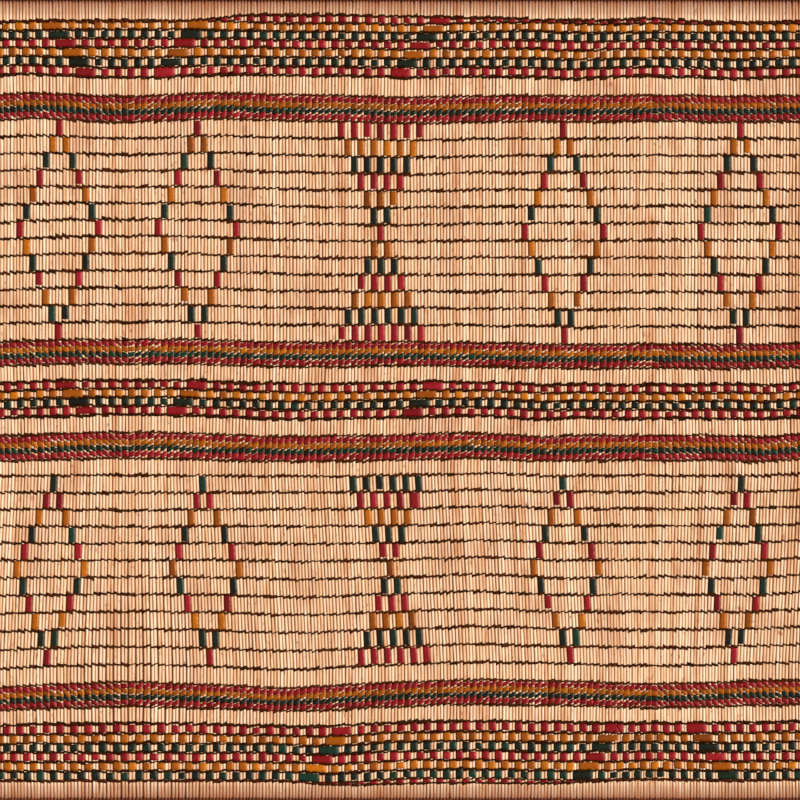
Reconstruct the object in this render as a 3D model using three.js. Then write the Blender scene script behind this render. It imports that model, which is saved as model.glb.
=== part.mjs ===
// Woven reed rug: 252 thin round stems side by side, bound by twined cords, with bands of coloured
// strips and a narrow hide binding folded over the stem ends at the top and the bottom edge.
// Millimetres. X runs across the stems, Y along them, +Z up. The rug lies flat on z = 0 and the
// origin is under its middle, below the middle check band.
import * as THREE from "three";
import { mergeVertices } from "three/addons/utils/BufferGeometryUtils.js";

// Stems
const stemCount = 252;
const stemPitch = 3.93;
const stemDiameter = 3.4;
const stemLength = 964;
const crownWidth = 1.5; // the flat on top of each stem
const webThickness = 1.0; // joins the stems in the gaps between them

// What wraps the stems, above and below
const gap = 0.3; // between a piece and what it lies on
const coverThickness = 1.3; // strips and cords at their thickest
const seamDepth = 0.6; // how far the seams between rows lie below the rows
const cordThickness = 1.1;
const cordWidth = 2.6;
const cordRidgeWidth = 1.2;

// Rows of the weave
const topCheckRows = Array(7).fill(10.2);
const middleCheckRows = Array(4).fill(10.8);
const bottomCheckRows = [12, ...Array(5).fill(10.8), 5.4];
const stripeBandRows = [3, 6.4, 6.4, 6.4, 6.4, 3]; // cord, four strips, cord
const upperFieldTop = 334.8;
const lowerFieldTop = -70.8;
const fieldCordCount = 12;
const upperFieldPitch = 20.4;
const lowerFieldPitch = 19.6;
const lowerFieldGrowth = 0.09; // each lower row is a little taller than the one above it

// Bands, from the top edge to the bottom edge, by the height of their middle
const bands = [
  { name: "check_band_top", y: 426.4, rows: topCheckRows, color: 0x9c4a2c },
  { name: "stripe_band_1", y: 351.2, rows: stripeBandRows, color: 0x8f2430 },
  { name: "stripe_band_2", y: 54, rows: stripeBandRows, color: 0x8f2430 },
  { name: "check_band_middle", y: 0, rows: middleCheckRows, color: 0x9c4a2c },
  { name: "stripe_band_3", y: -55.8, rows: stripeBandRows, color: 0x8f2430 },
  { name: "stripe_band_4", y: -355.2, rows: stripeBandRows, color: 0x8f2430 },
  { name: "check_band_bottom", y: -424.8, rows: bottomCheckRows, color: 0x9c4a2c },
];

// End bindings
const bindingWidth = 6; // seen from above
const bindingThickness = 1.2;
const foldSteps = 5;

// The rows sag and rise gently. Each guide is a line across the rug at height y, and each of its
// sags lowers the weave by drop at the place at, fading out over width. Rows between two guides
// take a share of both. The sags repeat as in a mirror left and right of the two turning lines.
const leftTurn = -326;
const rightTurn = 304;
const guides = [
  { y: 426, sags: [
    { at: -210, drop: -1, width: 50 },
    { at: 20, drop: 1.2, width: 70 },
    { at: 216, drop: 3, width: 70 },
  ] },
  { y: 351, sags: [
    { at: -320, drop: 1.6, width: 55 },
    { at: -215, drop: -3, width: 50 },
    { at: 20, drop: 3, width: 75 },
    { at: 205, drop: 1, width: 60 },
  ] },
  { y: 203, sags: [
    { at: -285, drop: -5, width: 105 },
    { at: -20, drop: 1.8, width: 110 },
  ] },
  { y: 54, sags: [
    { at: -285, drop: -3.8, width: 110 },
    { at: -10, drop: -1.5, width: 60 },
    { at: 230, drop: 2.6, width: 90 },
  ] },
  { y: 0, sags: [
    { at: -290, drop: -3.6, width: 80 },
    { at: -120, drop: 2, width: 60 },
    { at: 70, drop: -2.2, width: 55 },
    { at: 170, drop: 2, width: 30 },
    { at: 290, drop: 2, width: 70 },
  ] },
  { y: -56, sags: [
    { at: -300, drop: -3.4, width: 60 },
    { at: -120, drop: 2, width: 80 },
    { at: 80, drop: -2, width: 55 },
    { at: 175, drop: 2.6, width: 30 },
  ] },
  { y: -120, sags: [
    { at: -300, drop: 1.8, width: 90 },
    { at: 110, drop: -3, width: 70 },
  ] },
  { y: -212, sags: [
    { at: -110, drop: 3, width: 70 },
    { at: 95, drop: -3, width: 60 },
    { at: 195, drop: 1.6, width: 40 },
  ] },
  { y: -350, sags: [
    { at: -320, drop: -2.4, width: 50 },
    { at: -140, drop: 5, width: 65 },
    { at: 90, drop: -5, width: 95 },
    { at: 200, drop: -2.4, width: 60 },
  ] },
  { y: -425, sags: [
    { at: -85, drop: 3, width: 40 },
    { at: 70, drop: -2.6, width: 90 },
    { at: 300, drop: -1.6, width: 60 },
  ] },
];
const stationCount = 19; // places across the rug where a row's height is set

// Worked out from the sizes above
const halfWidth = (stemCount * stemPitch) / 2;
const stemBottom = coverThickness + gap;
const stemMiddle = stemBottom + stemDiameter / 2;
const stemTop = stemBottom + stemDiameter;
const ringHalfWidth = halfWidth + gap;

const materials = {
  stem: { color: 0xe6c296, roughness: 0.55 },
  cord: { color: 0x3b2a1c, roughness: 0.85 },
  binding: { color: 0x6f3921, roughness: 0.7 },
};

function matt(color, roughness) {
  return new THREE.MeshStandardMaterial({ color, roughness, metalness: 0 });
}

function namedMesh(name, geometry, material) {
  const mesh = new THREE.Mesh(geometry, material);
  mesh.name = name;
  return mesh;
}

// The place between the two turning lines that looks like place x
function unfolded(x) {
  if (x < leftTurn) return 2 * leftTurn - x;
  if (x > rightTurn) return 2 * rightTurn - x;
  return x;
}

function sagOf(guide, x) {
  const place = unfolded(x);
  return guide.sags.reduce(
    (sum, sag) => sum + sag.drop * Math.exp(-(((place - sag.at) / sag.width) ** 2)),
    0,
  );
}

// The height on the rug of a row that is nominally at y, at place x
function rowAt(x, y) {
  if (y >= guides[0].y) return y - sagOf(guides[0], x);
  const below = guides.findIndex((guide) => guide.y < y);
  if (below < 0) return y - sagOf(guides.at(-1), x);
  const [upper, lower] = [guides[below - 1], guides[below]];
  const share = (upper.y - y) / (upper.y - lower.y);
  return y - THREE.MathUtils.lerp(sagOf(upper, x), sagOf(lower, x), share);
}

// A closed loop of sections, each a ring of the same number of points, skinned with triangles
function skinnedLoop(sections) {
  const size = sections[0].length;
  const index = [];
  sections.forEach((section, s) => {
    const next = ((s + 1) % sections.length) * size;
    for (let p = 0; p < size; p += 1) {
      const q = (p + 1) % size;
      index.push(s * size + p, next + q, next + p);
      index.push(s * size + p, s * size + q, next + q);
    }
  });
  const geometry = new THREE.BufferGeometry();
  const positions = sections.flat().flatMap((point) => point.toArray());
  geometry.setAttribute("position", new THREE.Float32BufferAttribute(positions, 3));
  geometry.setIndex(index);
  return geometry;
}

// A band or cord that goes round all the stems. It lies on them with its whole width, and its
// profile on top is a row of points, each a distance from its middle line and a thickness, from its
// upper edge to its lower edge. Its top follows the sags of the weave, and its underside runs
// straight and flat from one side to the other.
function wrapGeometry(y, width, profile, thickness) {
  const section = (x, out, middle, innerZ, heightOf) => [
    new THREE.Vector3(x, middle - width / 2, innerZ),
    new THREE.Vector3(x, middle + width / 2, innerZ),
    ...profile.map((p) => new THREE.Vector3(x + out, middle + p.x, heightOf(p))),
  ];
  const sections = [];
  for (let s = 0; s < stationCount; s += 1) {
    const share = (2 * s) / (stationCount - 1) - 1;
    const x = ringHalfWidth * share;
    const out = Math.abs(share) === 1 ? thickness * share : 0;
    const top = (p) => stemTop + gap + p.y;
    sections.push(section(x, out, rowAt(x, y), stemTop + gap, top));
  }
  for (const side of [1, -1]) {
    const x = ringHalfWidth * side;
    const bottom = () => stemBottom - gap - thickness;
    sections.push(section(x, thickness * side, rowAt(x, y), stemBottom - gap, bottom));
  }
  return skinnedLoop(sections);
}

// A ridge for each row, with the seams between rows lying lower
function bandProfile(rows, width) {
  const seam = coverThickness - seamDepth;
  const profile = [new THREE.Vector2(width / 2, seam)];
  let edge = width / 2;
  for (const row of rows) {
    profile.push(new THREE.Vector2(edge - row / 2, coverThickness));
    edge -= row;
    profile.push(new THREE.Vector2(edge, seam));
  }
  return profile;
}

function bandMesh(band) {
  const width = band.rows.reduce((sum, row) => sum + row, 0);
  const geometry = wrapGeometry(band.y, width, bandProfile(band.rows, width), coverThickness);
  return namedMesh(band.name, geometry, matt(band.color, 0.6));
}

function cordMesh(name, y) {
  const { color, roughness } = materials.cord;
  const ridge = [cordRidgeWidth / 2, -cordRidgeWidth / 2];
  const profile = ridge.map((distance) => new THREE.Vector2(distance, cordThickness));
  const geometry = wrapGeometry(y, cordWidth, profile, cordThickness);
  return namedMesh(name, geometry, matt(color, roughness));
}

// The outline of one face of the stems, from left to right: a web in each gap between stems, and
// a rib on each stem whose crown has a point at each of the distances from the stem's middle
function ribs(crown, side) {
  const web = (x) => new THREE.Vector2(x, stemMiddle + (side * webThickness) / 2);
  const points = [];
  for (let stem = 0; stem < stemCount; stem += 1) {
    const left = -halfWidth + stem * stemPitch;
    const crownZ = stemMiddle + (side * stemDiameter) / 2;
    points.push(web(left));
    for (const distance of crown) {
      points.push(new THREE.Vector2(left + stemPitch / 2 + distance, crownZ));
    }
  }
  points.push(web(halfWidth));
  return points;
}

// All the stems as one ribbed sheet, with flat-topped ribs above and plain ones below
function stemPanel() {
  const over = ribs([-crownWidth / 2, crownWidth / 2], 1);
  const under = ribs([0], -1);
  const outline = new THREE.Shape([...over, ...under.reverse()]);
  const geometry = new THREE.ExtrudeGeometry(outline, {
    depth: stemLength,
    bevelEnabled: false,
  });
  geometry.rotateX(Math.PI / 2);
  geometry.translate(0, stemLength / 2, 0);
  const { color, roughness } = materials.stem;
  return namedMesh("stem_panel", merged(geometry), matt(color, roughness));
}

function merged(geometry) {
  geometry.deleteAttribute("normal");
  geometry.deleteAttribute("uv");
  return mergeVertices(geometry);
}

// A strip folded round the stem ends: its section has a round outer fold and a square inner one
function bindingMesh(name, side) {
  const fold = stemLength / 2 + gap + bindingThickness;
  const innerEdge = fold - bindingWidth;
  const outerTop = stemTop + gap + bindingThickness;
  const outerBottom = stemBottom - gap - coverThickness;
  const radius = (outerTop - outerBottom) / 2;
  const section = new THREE.Shape();
  section.moveTo(innerEdge, outerTop);
  section.lineTo(innerEdge, stemTop + gap);
  section.lineTo(stemLength / 2 + gap, stemTop + gap);
  section.lineTo(stemLength / 2 + gap, stemBottom - gap);
  section.lineTo(innerEdge, stemBottom - gap);
  section.lineTo(innerEdge, outerBottom);
  const middle = (outerTop + outerBottom) / 2;
  section.absellipse(fold - radius / 2, middle, radius / 2, radius, -Math.PI / 2, Math.PI / 2);
  const geometry = new THREE.ExtrudeGeometry(section, {
    depth: 2 * ringHalfWidth,
    bevelEnabled: false,
    curveSegments: foldSteps,
  });
  const along = new THREE.Matrix4().makeBasis(
    new THREE.Vector3(0, 1, 0),
    new THREE.Vector3(0, 0, 1),
    new THREE.Vector3(1, 0, 0),
  );
  geometry.applyMatrix4(along);
  geometry.translate(-ringHalfWidth, 0, 0);
  const { color, roughness } = materials.binding;
  const mesh = namedMesh(name, merged(geometry), matt(color, roughness));
  mesh.rotation.z = side > 0 ? 0 : Math.PI;
  return mesh;
}

const rug = new THREE.Group();
rug.add(stemPanel());
bands.forEach((band) => rug.add(bandMesh(band)));
for (let row = 1; row <= fieldCordCount; row += 1) {
  const number = String(row).padStart(2, "0");
  const upperY = upperFieldTop - row * upperFieldPitch;
  const lowerY = lowerFieldTop - row * lowerFieldPitch - row ** 2 * lowerFieldGrowth;
  rug.add(cordMesh(`upper_field_cord_${number}`, upperY));
  rug.add(cordMesh(`lower_field_cord_${number}`, lowerY));
}
rug.add(bindingMesh("end_binding_top", 1));
rug.add(bindingMesh("end_binding_bottom", -1));

export default rug;
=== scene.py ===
import math
from collections import namedtuple

import bpy
import numpy as np
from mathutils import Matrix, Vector


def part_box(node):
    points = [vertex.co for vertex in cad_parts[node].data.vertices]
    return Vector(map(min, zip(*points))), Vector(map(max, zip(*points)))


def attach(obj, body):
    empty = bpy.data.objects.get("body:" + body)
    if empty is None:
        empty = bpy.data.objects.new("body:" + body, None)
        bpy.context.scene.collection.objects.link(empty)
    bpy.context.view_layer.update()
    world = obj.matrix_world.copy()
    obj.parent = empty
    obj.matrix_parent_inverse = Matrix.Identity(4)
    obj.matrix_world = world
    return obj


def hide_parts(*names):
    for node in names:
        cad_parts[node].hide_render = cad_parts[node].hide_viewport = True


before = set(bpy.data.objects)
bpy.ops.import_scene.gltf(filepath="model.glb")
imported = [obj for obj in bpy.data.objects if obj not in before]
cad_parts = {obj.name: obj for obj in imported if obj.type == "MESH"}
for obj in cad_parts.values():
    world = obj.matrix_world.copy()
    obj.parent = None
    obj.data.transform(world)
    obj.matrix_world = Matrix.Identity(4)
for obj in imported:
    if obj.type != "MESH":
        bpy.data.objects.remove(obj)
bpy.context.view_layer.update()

# Woven reed rug: round stems side by side, twined dark cords, bands of coloured strips, motifs of
# strips wound round pairs of stems, and a narrow binding over the stem ends. Sizes and places are
# in millimetres, x across the stems and y along them, and become metres where a mesh is made.
# A rise is a height above the middle of the stems. Materials measure in metres throughout.
MM = 0.001
rng = np.random.default_rng(23)

# Stems, from the frame
panel_low, panel_high = (np.array(corner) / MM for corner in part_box("stem_panel"))
STEM_COUNT = 252
HALF_WIDTH = panel_high[0]
HALF_LENGTH = panel_high[1]
STEM_PITCH = 2 * HALF_WIDTH / STEM_COUNT
STEM_MIDDLE = (panel_low[2] + panel_high[2]) / 2
STEM_RADIUS = (panel_high[2] - panel_low[2]) / 2
STEM_SIDES = 7
STEM_OVAL = 1.23  # pressed against each other, the stems are a little wider than they are thick
RUG_HALF_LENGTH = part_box("end_binding_top")[1][1] / MM
RUG_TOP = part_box("end_binding_top")[1][2] / MM

# A strand or strip goes over one pair of stems and under the next. The outermost stem on each
# side of the rug is wrapped by itself.
PAIR_PITCH = 2 * STEM_PITCH
PAIR_COUNT = STEM_COUNT // 2 + 1

RED, ORANGE, GREEN = "red_strips", "orange_strips", "green_strips"
CORD = "twined_cord"

# Rows of the weave, as in the frame
CORD_ROW = 3
STRIPE_ROWS = (RED, ORANGE, GREEN, RED)
Band = namedtuple("Band", "node y rows colours")
CHECK_BANDS = (
    Band("check_band_top", 425.9, (10,) * 4 + (10.8,) * 3, (RED, ORANGE, GREEN) * 2 + (RED,)),
    Band("check_band_middle", -0.4, (10, 10, 10.4, 10.6), (RED, ORANGE, GREEN, RED)),
    Band("check_band_bottom", -425.5, (12,) + (11.1,) * 5 + (5.4,), (RED, ORANGE, GREEN) * 2 + (RED,)),
)
StripeBand = namedtuple("StripeBand", "node y row")
STRIPE_BANDS = (
    StripeBand("stripe_band_1", 350.5, 7),
    StripeBand("stripe_band_2", 54.5, 6.45),
    StripeBand("stripe_band_3", -57, 6.8),
    StripeBand("stripe_band_4", -355.2, 6.45),
)
FIELD_CORD_COUNT = 12
UPPER_FIELD_TOP = 334.8
UPPER_FIELD_PITCH = 20.4
LOWER_FIELD_TOP = -70.8
LOWER_FIELD_PITCH = 19.6
LOWER_FIELD_GROWTH = 0.09

# The sags of the weave, as in the frame
LEFT_TURN = -326
RIGHT_TURN = 304
Guide = namedtuple("Guide", "y sags")
Sag = namedtuple("Sag", "at drop width")
GUIDES = (
    Guide(426, (Sag(-210, -1, 50), Sag(20, 1.2, 70), Sag(216, 3, 70))),
    Guide(351, (Sag(-320, 1.6, 55), Sag(-215, -3, 50), Sag(20, 3, 75), Sag(205, 1, 60))),
    Guide(203, (Sag(-285, -5, 105), Sag(-20, 1.8, 110))),
    Guide(54, (Sag(-285, -3.8, 110), Sag(-10, -1.5, 60), Sag(230, 2.6, 90))),
    Guide(
        0,
        (Sag(-290, -3.6, 80), Sag(-120, 2, 60), Sag(70, -2.2, 55), Sag(170, 2, 30), Sag(290, 2, 70)),
    ),
    Guide(-56, (Sag(-300, -3.4, 60), Sag(-120, 2, 80), Sag(80, -2, 55), Sag(175, 2.6, 30))),
    Guide(-120, (Sag(-300, 1.8, 90), Sag(110, -3, 70))),
    Guide(-212, (Sag(-110, 3, 70), Sag(95, -3, 60), Sag(195, 1.6, 40))),
    Guide(-350, (Sag(-320, -2.4, 50), Sag(-140, 5, 65), Sag(90, -5, 95), Sag(200, -2.4, 60))),
    Guide(-425, (Sag(-85, 3, 40), Sag(70, -2.6, 90), Sag(300, -1.6, 60))),
)

# The stems drift sideways down the rug, one way between the two turning lines and the other way
# outside them
DRIFT_HEIGHTS = (-484, -325, -85, 72, 335, 484)
DRIFTS = (8, 9.5, -2, 1.2, 0, 1.5)
DRIFT_BLEND = 70
SLANT_BLEND = 7  # the slant of the weave turns over at the turning lines too, but sharply


def unfolded(x):
    """The place between the two turning lines that looks like place x"""
    x = np.where(x < LEFT_TURN, 2 * LEFT_TURN - x, x)
    return np.where(x > RIGHT_TURN, 2 * RIGHT_TURN - x, x)


def sag_of(guide, x):
    """How far a row at the height of the guide sags at places x"""
    place = unfolded(x)
    return sum(sag.drop * np.exp(-(((place - sag.at) / sag.width) ** 2)) for sag in guide.sags)


def row_at(x, y):
    """The height on the rug, at places x, of a row that is nominally at y"""
    heights = [guide.y for guide in GUIDES]
    if y >= heights[0]:
        return y - sag_of(GUIDES[0], x)
    if y <= heights[-1]:
        return y - sag_of(GUIDES[-1], x)
    below = next(i for i, height in enumerate(heights) if height < y)
    upper, lower = GUIDES[below - 1], GUIDES[below]
    share = (upper.y - y) / (upper.y - lower.y)
    return y - ((1 - share) * sag_of(upper, x) + share * sag_of(lower, x))


def turn_sign(x, blend):
    """1 between the turning lines and -1 outside them, changing smoothly over about the blend"""
    return np.tanh((x - LEFT_TURN) / blend) * np.tanh((RIGHT_TURN - x) / blend)


# How far stems lean together in loose groups, and how far pairs and single stems wave
GROUP_LEAN = 0.5
PAIR_WAVE, PAIR_WAVE_LENGTH = 0.16, 31
STEM_WAVE, STEM_WAVE_LENGTH = 0.1, 19
pair_phases = rng.uniform(0, 2 * math.pi, PAIR_COUNT)
stem_phases = rng.uniform(0, 2 * math.pi, STEM_COUNT)


def wander(x, y):
    """Stems lean together in loose groups, which change along the stems"""
    return GROUP_LEAN * np.sin(x / 23 + 1.3 * np.sin(y / 70)) * np.sin(y / 95 + x / 160)


def pair_x(pair, y):
    """Where the middle of each pair of stems is at heights y"""
    outermost = HALF_WIDTH - STEM_PITCH / 2
    nominal = np.clip(PAIR_PITCH * pair - HALF_WIDTH, -outermost, outermost)
    drift = np.interp(y, DRIFT_HEIGHTS, DRIFTS) * turn_sign(nominal, DRIFT_BLEND)
    wave = PAIR_WAVE * np.sin(y / PAIR_WAVE_LENGTH + pair_phases[pair])
    return nominal + drift + wander(nominal, y) + wave


def stem_x(stem, y):
    """Where the middle of each stem is at heights y"""
    pair = (stem + 1) // 2
    side = np.where(stem % 2 == 1, -1, 1)
    lone = (stem == 0) | (stem == STEM_COUNT - 1)
    spread = np.where(lone, 0, side * STEM_PITCH / 2)
    return pair_x(pair, y) + spread + STEM_WAVE * np.sin(y / STEM_WAVE_LENGTH + stem_phases[stem])


WOBBLE_WAVES = 3
WOBBLE_HEIGHTS = (0.08, 0.3)
WOBBLE_LENGTHS = (6, 28)


class Line:
    """The line of one cord or stripe across the rug, with a slight wobble of its own. dropped gives
    how far the line is drawn down at places x."""

    def __init__(self, y, dropped=None):
        self.y = y
        self.dropped = dropped
        self.waves = [
            (rng.uniform(*WOBBLE_HEIGHTS), rng.uniform(*WOBBLE_LENGTHS), rng.uniform(0, 2 * math.pi))
            for _ in range(WOBBLE_WAVES)
        ]

    def at(self, x):
        wobble = sum(height * np.sin(x / length + phase) for height, length, phase in self.waves)
        drop = self.dropped(x) if self.dropped else 0
        return row_at(x, self.y) + wobble - drop


class Shape:
    """Closed forms gathered into one mesh, with a tone from 0 to about 1 at each point"""

    def __init__(self):
        self.points, self.quads, self.triangles, self.tones = [], [], [], []
        self.size = 0

    def add(self, points, quads, triangles, tones):
        self.points.append(points)
        self.quads.append(quads + self.size)
        self.triangles.append(triangles + self.size)
        self.tones.append(tones)
        self.size += len(points)

    def add_tube(self, rings, tones):
        """A closed skin over rings of points, with flat ends. Each ring runs right-handed about the
        way on, so that the faces look out."""
        steps, sides, _ = rings.shape
        step = np.arange(steps - 1)[:, None] * sides
        here = np.arange(sides)[None, :]
        after = (here + 1) % sides
        quads = np.stack(
            [step + here, step + after, step + sides + after, step + sides + here], axis=-1
        ).reshape(-1, 4)
        fan = np.arange(1, sides - 1)
        start = np.stack([np.zeros_like(fan), fan + 1, fan], axis=-1)
        end = np.stack([np.zeros_like(fan), fan, fan + 1], axis=-1) + (steps - 1) * sides
        self.add(rings.reshape(-1, 3), quads, np.concatenate([start, end]), np.repeat(tones, sides))

    def make(self, name):
        points = np.concatenate(self.points) * MM
        faces = np.concatenate(self.quads).tolist() + np.concatenate(self.triangles).tolist()
        mesh = bpy.data.meshes.new(name)
        mesh.from_pydata(points, [], faces)
        mesh.polygons.foreach_set("use_smooth", np.ones(len(faces), dtype=bool))
        tone = mesh.attributes.new("tone", "FLOAT", "POINT")
        tone.data.foreach_set("value", np.concatenate(self.tones).astype(np.float32))
        piece = bpy.data.objects.new(name, mesh)
        bpy.context.collection.objects.link(piece)
        return piece


def swept(centres, half_widths, half_depths, sides):
    """Rings along a path that runs mostly along x, flat ovals of the given half sizes. A section of
    four sides is a diamond with a point at the top, and others are turned by half a side."""
    along = np.gradient(centres, axis=0)
    up = np.stack([-along[:, 2], np.zeros(len(along)), along[:, 0]], axis=1)
    up /= np.linalg.norm(up, axis=1, keepdims=True)
    angles = 2 * math.pi * (np.arange(sides) + (0.5 if sides > 4 else 0)) / sides
    across = np.array([0.0, 1.0, 0.0])
    return (
        centres[:, None, :]
        + (half_widths[:, None] * np.cos(angles))[:, :, None] * across
        + (half_depths[:, None] * np.sin(angles))[:, :, None] * up[:, None, :]
    )


# Where a strand or strip goes over or under a pair: its place from the pair's middle as a share of
# the pitch, its rise, and its share of the full width
Stop = namedtuple("Stop", "at rise width")
UNDER_AT = 0.27


def passes(top, shoulder, turn, turn_width, below, turn_at=0.45):
    """The stops of a pass over a pair and of a pass under it. The shoulder is where a pass over the
    pair starts to go down to its turn, and below is the width under the pair."""
    over = [Stop(-turn_at, turn, turn_width), Stop(-shoulder, top, 1)]
    over += [stop._replace(at=-stop.at) for stop in reversed(over)]
    return over, [Stop(-UNDER_AT, -top, below), Stop(UNDER_AT, -top, below)]


# How uneven the passes are: the spread of their heights, places, widths, lengths and slopes
Uneven = namedtuple("Uneven", "lift shift width length tilt")
# A strand or strip: its stops, how far it rises and falls along its height on each pass, half its
# width (a number or a function of x), half its thickness, the sides of its section, how uneven
# it is, how much thicker it is in some stretches, and how much its turns bulge at random
Strand = namedtuple("Strand", "stops slant half_width half_depth sides uneven swell bulge")
CORD_STOPS = passes(2.3, 0.2, 1.5, 1.0, 0.9)
FIELD_CORD = Strand(CORD_STOPS, 0.85, 1.5, 0.7, 5, Uneven(0.1, 0.42, 0.22, 0.05, 0.35), 0.18, 0.8)
STRIPE_CORD = FIELD_CORD._replace(uneven=Uneven(0.1, 0.35, 0.2, 0.05, 0.35), bulge=0.6)
CHECK_CORD = FIELD_CORD._replace(
    slant=0.45, sides=4, uneven=Uneven(0.1, 0.25, 0.18, 0.05, 0.3), bulge=0.5
)
OUTER_CHECK_CORD = CHECK_CORD._replace(half_width=1.85, bulge=0.7)
STRIPE = Strand(
    stops=passes(2.25, 0.26, 1.65, 0.9, 0.8),
    slant=1.6,
    half_width=None,
    half_depth=0.42,
    sides=6,
    uneven=Uneven(0.1, 0.28, 0.14, 0.05, 0.35),
    swell=0,
    bulge=0.25,
)
STRIPE_FILL = 0.525  # half a stripe's width as a share of its row, so that stripes overlap slightly
CHECK_STRIP = Strand(
    stops=passes(2.2, 0.35, 1.4, 0.84, 0.95, 0.53),
    slant=0,
    half_width=None,
    half_depth=0.6,
    sides=8,
    uneven=Uneven(0.06, 0.35, 0.1, 0.06, 0.35),
    swell=0,
    bulge=0,
)
EDGE_REACH = 0.9  # how far a strand's turn stands out past the outermost stem
EDGE_WIDTH = 0.6  # its share of the full width there
LEVEL_AT = 0.45  # where a strand that goes over two neighbouring pairs passes between them
TURNS_FROM = 0.4  # the stops of a pass over a pair that lie further out than this are its turns


def weave(shape, line_at, over, strand, shades=(0, 1)):
    """One strand or strip from side to side. line_at gives its height at places x, over says for
    each pair whether it goes over it, and its tones lie between the two shades. Passes over
    neighbouring pairs are one float, with one tone and one unevenness."""
    over_stops, under_stops = strand.stops
    pairs = np.arange(PAIR_COUNT)
    middles = pair_x(pairs, line_at(pair_x(pairs, 0)))
    xs, rises, widths, swings, shifts, tones = [], [], [], [], [], []
    for pair, middle in enumerate(middles):
        pitch = STEM_PITCH if pair in (0, PAIR_COUNT - 1) else PAIR_PITCH
        if not (pair and over[pair] and over[pair - 1]):
            tone = rng.uniform(*shades)
            drawn = np.clip(rng.normal(0, 1, 5), -2, 2)
            lift, shift, spread, stretch, tilt = drawn * strand.uneven
        for stop in over_stops if over[pair] else under_stops:
            beside = pair + (1 if stop.at > 0 else -1)
            turn = over[pair] and abs(stop.at) > TURNS_FROM
            level = turn and 0 <= beside < PAIR_COUNT and over[beside]
            bulge = strand.bulge * rng.uniform() ** 2 if turn else 0
            swing = math.sin(math.pi * stop.at) * (1 if over[pair] else -1)
            at = math.copysign(LEVEL_AT, stop.at) if level else stop.at * (1 + stretch)
            xs.append(middle + at * pitch)
            rises.append((over_stops[1].rise if level else stop.rise) + lift)
            widths.append((1 if level else stop.width) * (1 + spread + bulge))
            swings.append(swing * strand.slant)
            shifts.append(swing * tilt + shift + bulge * rng.uniform(-1, 1))
            tones.append(tone)
    reach = STEM_RADIUS + EDGE_REACH
    xs = np.array([middles[0] - reach, *xs, middles[-1] + reach])
    rises = np.array([0, *rises, 0])
    widths = np.array([EDGE_WIDTH, *widths, EDGE_WIDTH])
    tones = np.array([tones[0], *tones, tones[-1]])
    swings = np.array([0, *swings, 0]) * turn_sign(xs, SLANT_BLEND) + np.array([0, *shifts, 0])
    half_width = strand.half_width
    if callable(half_width):
        half_width = half_width(xs)
    centres = np.stack([xs, line_at(xs) + swings, STEM_MIDDLE + rises], axis=1)
    depths = np.full(len(xs), strand.half_depth)
    shape.add_tube(swept(centres, widths * half_width, depths, strand.sides), tones)


SWELL_LENGTHS = (20, 45)


def twine(shape, line_at, strand, variety=0.4):
    """Two strands twined round the pairs of stems, each over where the other is under. A strand's
    darkest tone lies between 0 and the variety, and its tones span one and a half varieties."""
    pairs = np.arange(PAIR_COUNT)
    for first in (0, 1):
        stretch = rng.uniform(*SWELL_LENGTHS)
        phase = rng.uniform(0, 2 * math.pi)
        darkest = rng.uniform(0, variety)

        def half_width(x, stretch=stretch, phase=phase):
            return strand.half_width * (1 + strand.swell * np.sin(x / stretch + phase))

        own = strand._replace(half_width=half_width)
        weave(shape, line_at, pairs % 2 == first, own, (darkest, darkest + 1.5 * variety))


# The floats of the check bands: in each of a run's rows, three neighbouring pairs lie under the
# strip. The middle pair of the three would be the first one in row 0, and moves by the step from
# each row to the next.
Float = namedtuple("Float", "first step rows")
FLOATS = {
    "check_band_top": (
        Float(9, 1, range(1, 7)),
        Float(33, -1, range(1, 7)),
        Float(69, -1, range(0, 7)),
    ),
    "check_band_middle": (
        Float(12, 1, range(0, 4)),
        Float(32, -1, range(0, 4)),
        Float(68, -1, range(0, 4)),
    ),
    "check_band_bottom": (
        Float(53, -1, range(0, 6)),
        Float(95, -1, range(0, 6)),
        Float(109, 1, range(0, 6)),
    ),
}
CHECK_CORD_ROOM = 0.55  # half of the space between rows of strips
THINNEST_STRIP = 0.4  # half its width
MOST_DARKEST = 0.3  # a strip's darkest tone lies between 0 and this
STRIP_TONES = 0.8  # how far its tones span
CHECK_CORD_VARIETY = 0.2
CHECK_ARCH = 0.8  # how far a cord gives way to the strip above or below it
USUAL_ROW = 10  # the cords beside lower rows than this are thinner


def top_squeeze(x):
    """How far the first row of the top band is pressed in: flat near the left side, a little in
    the right half and nearly flat at the right side"""
    left = 4.1 * (1 - np.tanh((x + 215) / 35))
    right = 1.8 * (1 + np.tanh((x - 60) / 60)) + 1.5 * (1 + np.tanh((x - 345) / 40))
    return left + right


def bottom_squeeze(x):
    """The last row of the bottom band is pressed flat away from the middle"""
    return -4.6 + 2.3 * (np.tanh((x + 70) / 30) - np.tanh((x - 200) / 45))


# Where the upper rows of the top band bunch up towards the end, and the line that stays in place
BUNCHES = (Sag(-320, 5, 110), Sag(185, 3.8, 80), Sag(400, 3.8, 55))
STILL_LINE = 5


def bunched(x):
    """How far up the rows of the top band are drawn at its top"""
    return sum(bunch.drop * np.exp(-(((x - bunch.at) / bunch.width) ** 2)) for bunch in BUNCHES)


def check_lines(band):
    """The cords above, between and below the rows of a check band"""
    top = band.y + sum(band.rows) / 2
    count = len(band.rows)
    lines = [Line(top - sum(band.rows[:row])) for row in range(count + 1)]
    if band.node == "check_band_top":
        lines[0].dropped = top_squeeze
        for row in range(1, count + 1):
            lines[row].dropped = lambda x, share=1 - row / STILL_LINE: -share * bunched(x)
    if band.node == "check_band_bottom":
        lines[-1].dropped = bottom_squeeze
    return lines


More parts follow.
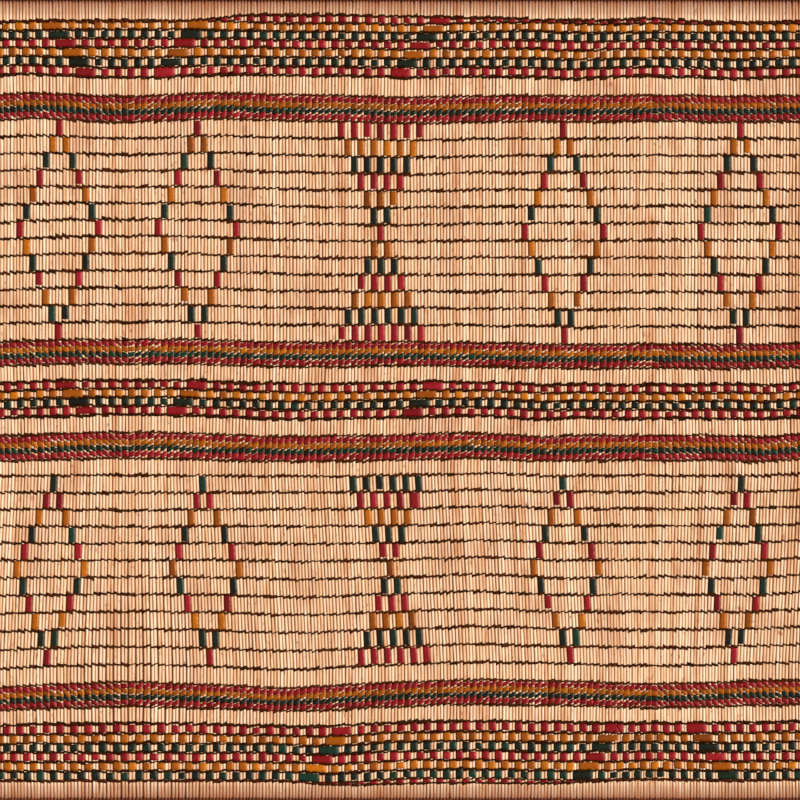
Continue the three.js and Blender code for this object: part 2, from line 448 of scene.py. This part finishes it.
def arched(line, over_below, push):
    """The height of a cord that rises over the strip below it and dips under the one above it"""
    pairs = np.arange(PAIR_COUNT)
    middles = pair_x(pairs, line.at(pair_x(pairs, 0)))
    pushes = np.where(over_below, push, -push)
    return lambda x: line.at(x) + np.interp(x, middles, pushes)


def check_band(band, strips, cords):
    """Rows of strips with twined cords above, between and below them. Returns the cords' lines."""
    lines = check_lines(band)
    parity = FLOATS[band.node][0].first
    pairs = np.arange(PAIR_COUNT)
    below = []
    for row, colour in enumerate(band.colours):
        over = (pairs + row + parity) % 2 == 1
        for run in FLOATS[band.node]:
            if row in run.rows:
                over[run.first + run.step * row] = True
        below.append(over)
        upper, lower = lines[row], lines[row + 1]

        def middle(x, upper=upper, lower=lower):
            return (upper.at(x) + lower.at(x)) / 2

        def half_width(x, upper=upper, lower=lower):
            return np.maximum((upper.at(x) - lower.at(x)) / 2 - CHECK_CORD_ROOM, THINNEST_STRIP)

        darkest = rng.uniform(0, MOST_DARKEST)
        strip = CHECK_STRIP._replace(half_width=half_width)
        weave(strips[colour], middle, over, strip, (darkest, darkest + STRIP_TONES))
    below.append(~below[-1])
    heights = [band.rows[0], *band.rows, band.rows[-1]]
    for place, (line, over) in enumerate(zip(lines, below)):
        room = min(heights[place], heights[place + 1], USUAL_ROW) / USUAL_ROW
        cord = OUTER_CHECK_CORD if place in (0, len(band.rows)) else CHECK_CORD
        cord = cord._replace(half_width=cord.half_width * math.sqrt(room))
        twine(cords, arched(line, over, CHECK_ARCH * room), cord, CHECK_CORD_VARIETY)
    return lines


def stripe_band(band, strips, cords):
    """Rows of twined strips between two cords. Returns the two cords' lines."""
    height = CORD_ROW + len(STRIPE_ROWS) * band.row
    outer = [Line(band.y + height / 2), Line(band.y - height / 2)]
    for row, colour in enumerate(STRIPE_ROWS):
        middle = Line(band.y + (len(STRIPE_ROWS) / 2 - 0.5 - row) * band.row)
        twine(strips[colour], middle.at, STRIPE._replace(half_width=STRIPE_FILL * band.row))
    for line in outer:
        twine(cords, line.at, STRIPE_CORD)
    return outer


def field_cords(top, pitch, growth, cords):
    """The free cords of a field. The pitch grows a little down the field where growth is given."""
    lines = []
    for row in range(1, FIELD_CORD_COUNT + 1):
        line = Line(top - row * pitch - growth * row**2)
        twine(cords, line.at, FIELD_CORD)
        lines.append(line)
    return lines


# A motif block is a strip wound round one pair of stems for most of a row's height. Its outline
# round the pair: places from the pair's middle and rises.
BLOCK_OUTLINE = (
    (4.35, 1.0), (3.5, 1.95), (1.7, 2.45), (0, 2.35), (-1.9, 2.45), (-3.5, 1.95), (-4.35, 0.9),
    (-3.8, -0.6), (-3.3, -1.75), (-2.0, -2.2), (0, -2.0), (2.0, -2.2), (3.3, -1.75), (3.8, -0.6),
)
BLOCK_SHARES = (0, 0.05, 0.5, 0.95, 1)  # where its sections are, from bottom to top
BLOCK_SWELLS = (0.94, 1, 1.015, 1, 0.94)
BLOCK_CLEARANCE = 0.5  # from the cords above and below
BLOCK_UNEVEN = 0.7  # the spread of what is added to the clearance
BLOCK_WIDTHS = 0.04  # the spread of the widths
BLOCK_STEP = 0.12  # the spread of how far its sections are out of place
SHORT_BLOCKS = 0.15  # the share of the blocks that end well above the cord below
SHORT_BY = (1, 3)
WIDE_BLOCK = 1.45


def motif_block(shape, pair, upper, lower, stretch=1.0):
    """A block on a pair, or with a stretch above 1 on the next stem to the right too"""
    x = float(pair_x(pair, upper.y))
    top = float(upper.at(x)) - BLOCK_CLEARANCE - abs(rng.normal(0, BLOCK_UNEVEN))
    bottom = float(lower.at(x)) + BLOCK_CLEARANCE + abs(rng.normal(0, BLOCK_UNEVEN))
    if rng.uniform() < SHORT_BLOCKS:
        bottom += rng.uniform(*SHORT_BY)
    ys = bottom + (top - bottom) * np.array(BLOCK_SHARES)
    outline = np.array(BLOCK_OUTLINE)
    rings = np.empty((len(ys), len(outline), 3))
    width = stretch * rng.normal(1, BLOCK_WIDTHS)
    aside = (stretch - 1) * PAIR_PITCH / 2
    for ring, y, swell in zip(rings, ys, BLOCK_SWELLS):
        ring[:, 0] = float(pair_x(pair, y)) + aside + outline[:, 0] * swell * width
        ring[:, 1] = y + rng.normal(0, BLOCK_STEP)
        ring[:, 2] = STEM_MIDDLE + outline[:, 1] * swell
    shape.add_tube(rings[:, ::-1], np.full(len(ys), rng.uniform()))


# The motifs of a field: its rows, their colours in turn, the middle pairs of the diamonds and of
# the hourglass, and the blocks that lie on the next stem too, as (row, pair)
Motifs = namedtuple("Motifs", "rows colours diamonds hourglass wide")
UPPER_MOTIFS = Motifs(range(13), (RED, ORANGE, GREEN), (11, 32, 88, 115), 60, ())
LOWER_MOTIFS = Motifs(range(1, 12), (GREEN, RED, ORANGE), (10, 33, 88, 115), 61, ((2, 65),))


def motif_rows(strips, lines, motifs):
    """Diamonds that open and close by one pair a row, and an hourglass of blocks two pairs apart"""
    count = len(motifs.rows)
    for place, row in enumerate(motifs.rows):
        shape = strips[motifs.colours[place % len(motifs.colours)]]
        upper, lower = lines[row], lines[row + 1]
        reach = min(place, count - 1 - place)
        for middle in motifs.diamonds:
            for pair in sorted({middle - reach, middle + reach}):
                motif_block(shape, pair, upper, lower)
        blocks = count // 2 + 1 - reach
        for block in range(blocks):
            pair = motifs.hourglass + 2 * block - (blocks - 1)
            motif_block(shape, pair, upper, lower, WIDE_BLOCK if (row, pair) in motifs.wide else 1)


FRAYED_ENDS = 7  # on each cord of the fields
FRAYED_SPAN = 480  # how far from the middle of the rug they may be
FRAYED_LENGTHS = (1.5, 4.5)
FRAYED_THICKNESS = (0.4, 0.65)  # half of it, at the root
FRAYED_RISE = 0.7  # above the tops of the stems


def frayed_end(shape, x, y, slope):
    """A short loose end of a strand, lying on the stems. About two in three point down."""
    length = rng.uniform(*FRAYED_LENGTHS)
    share = np.linspace(0, 1, 4)
    xs = x + slope * length * share
    ys = y - length * share * rng.choice([-1, 1], p=[0.35, 0.65]) * rng.uniform(0.4, 1)
    zs = STEM_MIDDLE + STEM_RADIUS + FRAYED_RISE + 0.35 * np.sin(math.pi * share)
    thickness = rng.uniform(*FRAYED_THICKNESS) * (1 - 0.6 * share)
    rings = swept(np.stack([xs, ys, zs], axis=1), thickness, thickness, 4)
    shape.add_tube(rings, np.full(len(share), rng.uniform()))


# Where two pairs are pressed apart at a cord: how often, how far each stem gives way, and how far
# from the cord the gap reaches
PINCH_SHARE = 0.16
PINCH = (0.3, 0.9)
PINCH_REACH = 3.2
# How much the stems vary in width and height, and in thickness from cord to cord, how far they are
# out of line at the cords, and how much shorter they may be at an end
WIDTH_SPREAD, HEIGHT_SPREAD, SWELL_SPREAD = 0.05, 0.07, 0.02
OUT_OF_LINE = 0.09
MOST_CUT = 1.2
# Towards each end the stems splay and swell: the stations next to the tip, the spread of the
# splay, and the shares of it and the swelling from the tip inwards
END_STATIONS = (477, 470)
END_SPLAY = 0.17
END_SPLAYS = (2.2, 1.5, 0.7)
END_SWELLS = (1.06, 1.05, 1.04)


def stem_path(number, lines, pinches, cuts):
    """The places and heights of one stem's stations, from top to bottom"""
    inward = 1 if number % 2 == 1 else -1
    x = float(stem_x(np.array(number), 0))
    ys = [HALF_LENGTH - cuts[0], *END_STATIONS]
    asides = [0.0] * len(ys)
    for line, pinch in zip(lines, pinches):
        y = float(line.at(x))
        if pinch:
            ys += [y + PINCH_REACH, y, y - PINCH_REACH]
            asides += [0.0, pinch * inward, 0.0]
        else:
            ys.append(y)
            asides.append(rng.normal(0, OUT_OF_LINE))
    ys = np.array([*ys, *(-y for y in reversed(END_STATIONS)), -HALF_LENGTH + cuts[1]])
    asides += [0.0] * (len(ys) - len(asides))
    return stem_x(np.full(len(ys), number), ys) + np.array(asides), ys


def stems(lines, first, last):
    """Stems from number first up to last, with stations at each cord"""
    shape = Shape()
    width_of = STEM_OVAL * (1 + rng.normal(0, WIDTH_SPREAD, STEM_COUNT))
    height_of = rng.normal(0, HEIGHT_SPREAD, STEM_COUNT)
    tone_of = rng.uniform(0, 1, STEM_COUNT)
    end_lean = rng.normal(0, END_SPLAY, (2, STEM_COUNT))
    cut = rng.uniform(0, MOST_CUT, (2, STEM_COUNT))
    pinches = rng.uniform(*PINCH, (PAIR_COUNT, len(lines)))
    pinches *= rng.uniform(size=pinches.shape) < PINCH_SHARE
    angles = 2 * math.pi * (np.arange(STEM_SIDES) + 0.5) / STEM_SIDES
    for number in range(first, last):
        xs, ys = stem_path(number, lines, pinches[number // 2], cut[:, number])
        radii = STEM_RADIUS * (1 + rng.normal(0, SWELL_SPREAD, len(ys)))
        for end, order in ((0, (0, 1, 2)), (1, (-1, -2, -3))):
            for index, splay, swell in zip(order, END_SPLAYS, END_SWELLS):
                xs[index] += end_lean[end, number] * splay
                radii[index] *= swell
        rings = np.empty((len(ys), STEM_SIDES, 3))
        rings[:, :, 0] = xs[:, None] + width_of[number] * radii[:, None] * np.cos(angles)
        rings[:, :, 1] = ys[:, None]
        rings[:, :, 2] = STEM_MIDDLE + height_of[number] + radii[:, None] * np.sin(angles)
        shape.add_tube(rings, np.full(len(ys), tone_of[number]))
    return shape


# The binding's section, from its upper free edge round the fold to its lower free edge: places
# back from the fold and heights
BINDING_OUTER = (
    (6, 5.75), (4.6, 6.4), (1.4, 6.3), (0.2, 5.0), (0, 3.2), (0.3, 1.4), (1.4, 0.1), (6, 0.1)
)
BINDING_INNER = ((6, 1.25), (1.9, 1.3), (1.1, 3.3), (1.9, 5.2), (6, 5.3))
BINDING_REACH = 6
UPPER_FROM = 3  # the height above which the section is its upper half
# Each binding's side, node, and how much further in its free edges lie
BINDINGS = ((1, "end_binding_top", 0), (-1, "end_binding_bottom", 1.4))
# How far a binding's free edges draw back, how far it dips, and its tones, on a stem and in a gap
Drape = namedtuple("Drape", "inset dent tones")
ON_STEM = Drape((2.4, 3.3), 0, (0.5, 1))
# painted shade: the dark tones where the binding dips into a gap
IN_GAP = Drape((0, 1), 1.9, (0, 0.15))


def binding(side, further):
    """A strip folded over the stem ends, drawn down into the gaps between the stems, where it
    reaches further in than on the stems. Side 1 is the top of the rug and side -1 its bottom."""
    section = np.array(BINDING_OUTER + BINDING_INNER)
    shape = Shape()
    numbers = np.arange(STEM_COUNT)
    y_end = side * RUG_HALF_LENGTH
    middles = stem_x(numbers, np.full(STEM_COUNT, float(y_end)))
    xs = np.sort(np.concatenate([middles, middles + STEM_PITCH / 2, [middles[0] - STEM_RADIUS]]))
    rings = np.empty((len(xs), len(section), 3))
    free = section[:, 0] >= BINDING_REACH
    upper = section[:, 1] > UPPER_FROM
    tones = np.empty(len(xs))
    for i, x in enumerate(xs):
        drape = ON_STEM if i % 2 == 1 else IN_GAP
        inset = rng.uniform(*drape.inset) - further
        reach = section[:, 0] - np.where(free, inset, 0)
        rings[i, :, 0] = x
        rings[i, :, 1] = y_end - side * reach
        rings[i, :, 2] = section[:, 1] - drape.dent * upper * section[:, 0] / BINDING_REACH
        # in a gap the tones are dark: painted shade
        tones[i] = rng.uniform(*drape.tones)
    shape.add_tube(rings if side > 0 else rings[:, ::-1], tones)
    return shape


def linear(red, green, blue):
    """A colour given as 8-bit display values, as a shader takes it"""
    shares = [value / 255 for value in (red, green, blue)]
    values = [s / 12.92 if s <= 0.04045 else ((s + 0.055) / 1.055) ** 2.4 for s in shares]
    return (*values, 1.0)


class Surface:
    """A material whose nodes are added one by one"""

    def __init__(self, name):
        self.material = bpy.data.materials.new(name)
        self.material.use_nodes = True
        self.tree = self.material.node_tree
        self.shader = self.tree.nodes["Principled BSDF"]

    def node(self, kind, settings=None, inputs=None):
        node = self.tree.nodes.new(kind)
        for key, value in (settings or {}).items():
            setattr(node, key, value)
        for key, value in (inputs or {}).items():
            self.feed(node.inputs[key], value)
        return node

    def feed(self, socket, value):
        if isinstance(value, bpy.types.NodeSocket):
            self.tree.links.new(value, socket)
        else:
            socket.default_value = value

    def coordinates(self):
        """Object coordinates, in metres"""
        return self.node("ShaderNodeTexCoord").outputs["Object"]

    def coordinate(self, axis):
        return self.node("ShaderNodeSeparateXYZ", {}, {0: self.coordinates()}).outputs[axis]

    def place(self, scale):
        """Object coordinates times scale"""
        return self.node(
            "ShaderNodeVectorMath", {"operation": "MULTIPLY"}, {0: self.coordinates(), 1: scale}
        ).outputs[0]

    def tone(self):
        return self.node("ShaderNodeAttribute", {"attribute_name": "tone"}).outputs["Fac"]

    def noise(self, scale, detail=3.0, roughness=0.6, seed=None):
        """Noise with scale cells to the metre. With a seed, each value of it has its own pattern."""
        inputs = {"Vector": self.place(scale), "Scale": 1.0, "Detail": detail, "Roughness": roughness}
        dimensions = "3D"
        if seed is not None:
            dimensions = "4D"
            inputs["W"] = seed
        return self.node(
            "ShaderNodeTexNoise", {"noise_dimensions": dimensions}, inputs
        ).outputs["Fac"]

    def math(self, operation, a, b):
        return self.node("ShaderNodeMath", {"operation": operation}, {0: a, 1: b}).outputs[0]

    def spread(self, value, low, high):
        """value from low to high as 0 to 1"""
        return self.node(
            "ShaderNodeMapRange", {}, {"Value": value, "From Min": low, "From Max": high}
        ).outputs["Result"]

    def fade(self, value, low, high, most):
        """value from low to high as 0 to most"""
        return self.math("MULTIPLY", self.spread(value, low, high), most)

    def sum_of(self, a, a_share, b, b_share):
        """a and b, each times its share, added up"""
        return self.math("ADD", self.math("MULTIPLY", a, a_share), self.math("MULTIPLY", b, b_share))

    def mix(self, factor, a, b, blend="MIX"):
        node = self.node("ShaderNodeMix", {"data_type": "RGBA", "blend_type": blend})
        self.feed(node.inputs[0], factor)
        self.feed(node.inputs[6], a)
        self.feed(node.inputs[7], b)
        return node.outputs[2]

    def lean(self):
        """How far the surface leans to the right, from -1 to 1"""
        normal = self.node("ShaderNodeNewGeometry").outputs["Normal"]
        return self.node("ShaderNodeSeparateXYZ", {}, {0: normal}).outputs["X"]

    def bump(self, height, strength, distance):
        node = self.node(
            "ShaderNodeBump", {}, {"Height": height, "Strength": strength, "Distance": distance}
        )
        self.feed(self.shader.inputs["Normal"], node.outputs["Normal"])

    def finish(self, colour, roughness, **numbers):
        """Feeds the shader. Its further sockets are named with underscores for spaces."""
        self.feed(self.shader.inputs["Base Color"], colour)
        self.feed(self.shader.inputs["Roughness"], roughness)
        for name, value in numbers.items():
            self.shader.inputs[name.replace("_", " ")].default_value = value
        return self.material


CREAM = linear(238, 216, 184)
STRAW = linear(226, 190, 146)
TAN = linear(200, 138, 88)
# painted shade: the stems' sides darker and oranger than their crests
SLOPE_SHADE = linear(225, 134, 60)
STREAK = linear(174, 94, 44)
SPOT = linear(98, 48, 20)
# painted shade low in the grooves between the stems
GROOVE_SHADE = linear(130, 60, 14)
RUST = linear(132, 58, 24)
# painted shade low between the stem ends beside the bindings
END_SHADE = linear(34, 10, 2)
# painted shade for the strips' left slopes and low parts
STRIP_SHADE = linear(30, 9, 2)
# Where stems brown towards their ends and take painted shade by the bindings, in metres from the rug's
# middle
DUSTY = (0.461, 0.465)
RUSTY = (0.458, 0.48)
END_SHADE_SPAN = (0.4755, 0.4775)


def at_rise(rise):
    """The height of a rise given in millimetres, in metres"""
    return (STEM_MIDDLE + rise) * MM


def straw(s, grain, streaks, seed):
    """Each stem's own shade, with long streaks, patches, blotches and brown spots"""
    shade = s.sum_of(s.tone(), 0.25, grain, 0.9)
    colour = s.mix(s.spread(shade, 0.35, 0.7), CREAM, STRAW)
    colour = s.mix(s.spread(shade, 0.66, 0.96), colour, TAN)
    colour = s.mix(s.fade(streaks, 0.55, 0.75, 0.5), colour, STREAK)
    patches = s.noise((22, 14, 22), 2.0, 0.5)
    colour = s.mix(s.fade(patches, 0.5, 0.7, 0.28), colour, STREAK)
    blotches = s.noise((170, 70, 170))
    colour = s.mix(s.fade(blotches, 0.64, 0.72, 0.7), colour, STREAK)
    spots = s.noise((330, 130, 330), seed=seed)
    return s.mix(s.fade(spots, 0.64, 0.72, 0.8), colour, SPOT)


def shaded_slopes_and_grooves(s, colour):
    """Painted shade: darker, oranger sides on each stem and dark brown grooves between stems"""
    low, shoulder, high = (at_rise(share * STEM_RADIUS) for share in (0.1, 0.5, 0.97))
    # painted shade down each stem's sides below its crest
    colour = s.mix(s.fade(s.coordinate("Z"), high, shoulder, 0.7), colour, SLOPE_SHADE, "MULTIPLY")
    # painted shade, darkest low between the stems
    groove_shade = s.math("POWER", s.spread(s.coordinate("Z"), high, low), 1.3)
    return s.mix(s.math("MULTIPLY", groove_shade, 0.88), colour, GROOVE_SHADE)


def browned_ends(s, colour):
    """Dust past the check bands, rust towards the bindings, and painted shade low beside them"""
    far = s.math("ABSOLUTE", s.coordinate("Y"), 0)
    colour = s.mix(s.fade(far, *DUSTY, 0.17), colour, RUST)
    rusty = s.math("POWER", s.spread(far, *RUSTY), 1.3)
    colour = s.mix(s.math("MULTIPLY", rusty, 0.9), colour, RUST)
    top, bottom = at_rise(0.92 * STEM_RADIUS), at_rise(0.5 * STEM_RADIUS)
    low_shade = s.spread(s.coordinate("Z"), top, bottom)
    # painted shade, low between the stems next to the bindings
    return s.mix(s.math("MULTIPLY", s.spread(far, *END_SHADE_SPAN), low_shade), colour, END_SHADE)


def stem_surface():
    """Dry straw, with a pattern of its own on each stem"""
    s = Surface("stem_straw")
    seed = s.math("MULTIPLY", s.tone(), 37.0)
    grain = s.noise((150, 30, 150), seed=seed)
    streaks = s.noise((900, 26, 900), 4.0, seed=seed)
    colour = browned_ends(s, shaded_slopes_and_grooves(s, straw(s, grain, streaks, seed)))
    s.bump(streaks, 0.35, 0.0004)
    roughness = s.math("ADD", s.spread(grain, 0.0, 1.6), 0.25)
    return s.finish(colour, roughness, Specular_IOR_Level=0.16)


def cord_surface():
    """Dark twisted plant fibre with pale patches of painted highlight"""
    s = Surface("cord_fibre")
    fibre = s.noise((700, 2600, 700))
    shade = s.sum_of(s.tone(), 0.5, fibre, 0.6)
    colour = s.mix(s.spread(shade, 0.25, 1.0), linear(26, 7, 0), linear(88, 40, 10))
    # painted highlight: pale glints on the fibres
    patches = s.noise((420, 900, 420), 2.0)
    colour = s.mix(s.fade(patches, 0.6, 0.74, 0.6), colour, linear(126, 94, 70))
    s.bump(fibre, 0.6, 0.0005)
    return s.finish(colour, 0.85, Specular_IOR_Level=0.02)


def strip_surface(name, dark, middle, light, painted_highlight):
    """Thin dyed hide, with a shade of its own on each pass over the stems. Patchy painted highlight
    where it leans right, painted shade where it leans left and low down."""
    s = Surface(name)
    cloud = s.noise((260, 260, 260))
    grain = s.noise((1500, 1500, 1500))
    shade = s.sum_of(s.tone(), 0.7, cloud, 0.5)
    colour = s.mix(s.spread(shade, 0.2, 0.6), dark, middle)
    colour = s.mix(s.spread(shade, 0.75, 1.1), colour, light)
    # painted highlight, in patches, on faces that lean to the right
    highlight_mask = s.math("MULTIPLY", s.spread(s.lean(), 0.16, 0.62), s.spread(cloud, 0.25, 0.65))
    colour = s.mix(s.math("MULTIPLY", highlight_mask, 0.75), colour, painted_highlight)
    # painted shade on slopes that lean to the left
    sloping = s.spread(s.coordinate("Z"), at_rise(2.75), at_rise(1.5))
    left_shade = s.math("MULTIPLY", sloping, s.spread(s.lean(), 0.0, -0.4))
    colour = s.mix(s.math("MULTIPLY", left_shade, 0.85), colour, STRIP_SHADE)
    # painted shade low down between and beside the stems
    low_shade = s.fade(s.coordinate("Z"), at_rise(1.7), at_rise(0.7), 0.85)
    colour = s.mix(low_shade, colour, STRIP_SHADE)
    s.bump(grain, 0.35, 0.0003)
    return s.finish(colour, 0.45, Specular_IOR_Level=0.1)


def binding_surface():
    """Rust brown hide, with painted shade where it dips into the gaps between the stems"""
    s = Surface("binding_hide")
    grain = s.noise((600, 600, 600), 4.0)
    shade = s.sum_of(s.tone(), 0.6, grain, 0.5)
    colour = s.mix(s.spread(shade, 0.42, 0.9), linear(58, 22, 8), linear(150, 74, 36))
    s.bump(grain, 0.5, 0.0004)
    return s.finish(colour, 0.7, Specular_IOR_Level=0.12)


surfaces = {
    RED: strip_surface(
        "red_hide",
        dark=linear(84, 4, 5),
        middle=linear(122, 11, 15),
        light=linear(154, 26, 34),
        painted_highlight=linear(206, 104, 98),
    ),
    ORANGE: strip_surface(
        "orange_hide",
        dark=linear(100, 42, 1),
        middle=linear(143, 69, 0),
        light=linear(188, 103, 2),
        painted_highlight=linear(224, 148, 72),
    ),
    GREEN: strip_surface(
        "green_hide",
        dark=linear(17, 11, 5),
        middle=linear(20, 27, 15),
        light=linear(14, 58, 40),
        painted_highlight=linear(118, 116, 96),
    ),
    CORD: cord_surface(),
    "stems": stem_surface(),
    "end_binding": binding_surface(),
}


def piece_of(shape, name, slot, nodes):
    """The piece made from a shape, which takes the place of the frame's nodes"""
    piece = shape.make(name)
    piece.data.materials.append(surfaces[slot])
    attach(piece, "root")
    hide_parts(*nodes)
    return piece


def rug():
    """All pieces of the rug, in the order of their random draws"""
    strips = {colour: Shape() for colour in (RED, ORANGE, GREEN)}
    top_cords, bottom_cords, upper_cords, lower_cords = (Shape() for _ in range(4))
    check_nodes = [band.node for band in CHECK_BANDS]
    stripe_nodes = [band.node for band in STRIPE_BANDS]
    top_check = check_band(CHECK_BANDS[0], strips, top_cords)
    middle_check = check_band(CHECK_BANDS[1], strips, bottom_cords)
    bottom_check = check_band(CHECK_BANDS[2], strips, bottom_cords)
    stripes = [
        stripe_band(band, strips, top_cords if band.y > 0 else bottom_cords)
        for band in STRIPE_BANDS
    ]
    upper_lines = field_cords(UPPER_FIELD_TOP, UPPER_FIELD_PITCH, 0, upper_cords)
    lower_lines = field_cords(LOWER_FIELD_TOP, LOWER_FIELD_PITCH, LOWER_FIELD_GROWTH, lower_cords)
    upper_field = [stripes[0][1], *upper_lines, stripes[1][0]]
    lower_field = [stripes[2][1], *lower_lines, stripes[3][0]]
    motif_rows(strips, upper_field, UPPER_MOTIFS)
    motif_rows(strips, lower_field, LOWER_MOTIFS)
    for lines, shape in ((upper_lines, upper_cords), (lower_lines, lower_cords)):
        for line in lines:
            for x in rng.uniform(-FRAYED_SPAN, FRAYED_SPAN, FRAYED_ENDS):
                frayed_end(shape, x, float(line.at(x)), rng.uniform(-1, 1))
    stations = [
        top_check[0],
        top_check[-1],
        stripes[0][0],
        *upper_field,
        stripes[1][1],
        middle_check[0],
        middle_check[-1],
        stripes[2][0],
        *lower_field,
        stripes[3][1],
        bottom_check[0],
        bottom_check[-1],
    ]
    half = STEM_COUNT // 2
    left = piece_of(stems(stations, 0, half), "stems_left", "stems", ["stem_panel"])
    right = piece_of(stems(stations, half, STEM_COUNT), "stems_right", "stems", ["stem_panel"])
    numbers = [f"{row:02d}" for row in range(1, FIELD_CORD_COUNT + 1)]
    parts = [
        piece_of(upper_cords, "upper_field_cords", CORD, [f"upper_field_cord_{n}" for n in numbers]),
        piece_of(lower_cords, "lower_field_cords", CORD, [f"lower_field_cord_{n}" for n in numbers]),
        piece_of(top_cords, "upper_band_cords", CORD, ["check_band_top", *stripe_nodes[:2]]),
        piece_of(bottom_cords, "lower_band_cords", CORD, [*check_nodes[1:], *stripe_nodes[2:]]),
    ]
    for colour, shape in strips.items():
        parts.append(piece_of(shape, colour, colour, [*check_nodes, *stripe_nodes]))
    for side, name, further in BINDINGS:
        parts.append(piece_of(binding(side, further), f"{name}_strip", "end_binding", [name]))


def floor():
    """A plain pale floor under the rug"""
    half = 15.0
    mesh = bpy.data.meshes.new("floor")
    corners = [(-half, -half, 0), (half, -half, 0), (half, half, 0), (-half, half, 0)]
    mesh.from_pydata(corners, [], [(0, 1, 2, 3)])
    plane = bpy.data.objects.new("floor", mesh)
    bpy.context.collection.objects.link(plane)
    s = Surface("floor_plain")
    cloud = s.noise((3, 3, 3), roughness=0.5)
    colour = s.mix(cloud, linear(203, 201, 197), linear(209, 207, 203))
    mesh.materials.append(s.finish(colour, 0.8))


def camera():
    """Straight above the rug, far away with a long lens, as in the photograph"""
    view_width = 0.960
    data = bpy.data.cameras.new("camera")
    data.lens = 180
    data.sensor_width = 36
    data.clip_end = 50
    eye = bpy.data.objects.new("camera", data)
    eye.location = (0, 0, view_width * data.lens / data.sensor_width + RUG_TOP * MM)
    bpy.context.collection.objects.link(eye)
    bpy.context.scene.camera = eye


def sun(name, azimuth, elevation, strength, softness):
    """A sun that stands at the given angles, in degrees, the azimuth counted from +x"""
    data = bpy.data.lights.new(name, "SUN")
    data.energy = strength
    data.angle = math.radians(softness)
    lamp = bpy.data.objects.new(name, data)
    bpy.context.collection.objects.link(lamp)
    a, e = math.radians(azimuth), math.radians(elevation)
    towards = Vector((math.cos(a) * math.cos(e), math.sin(a) * math.cos(e), math.sin(e)))
    lamp.rotation_euler = towards.to_track_quat("Z", "Y").to_euler()


def lights():
    """A soft sun from the right, a weak one from the left and a pale sky"""
    sun("key", azimuth=15, elevation=48, strength=3.65, softness=10)
    sun("fill", azimuth=195, elevation=60, strength=0.75, softness=40)
    world = bpy.data.worlds.new("studio")
    world.use_nodes = True
    background = world.node_tree.nodes["Background"]
    background.inputs["Color"].default_value = (1.0, 0.98, 0.95, 1)
    background.inputs["Strength"].default_value = 0.33
    bpy.context.scene.world = world
    bpy.context.scene.view_settings.view_transform = "Standard"


camera()
rug()
floor()
lights()
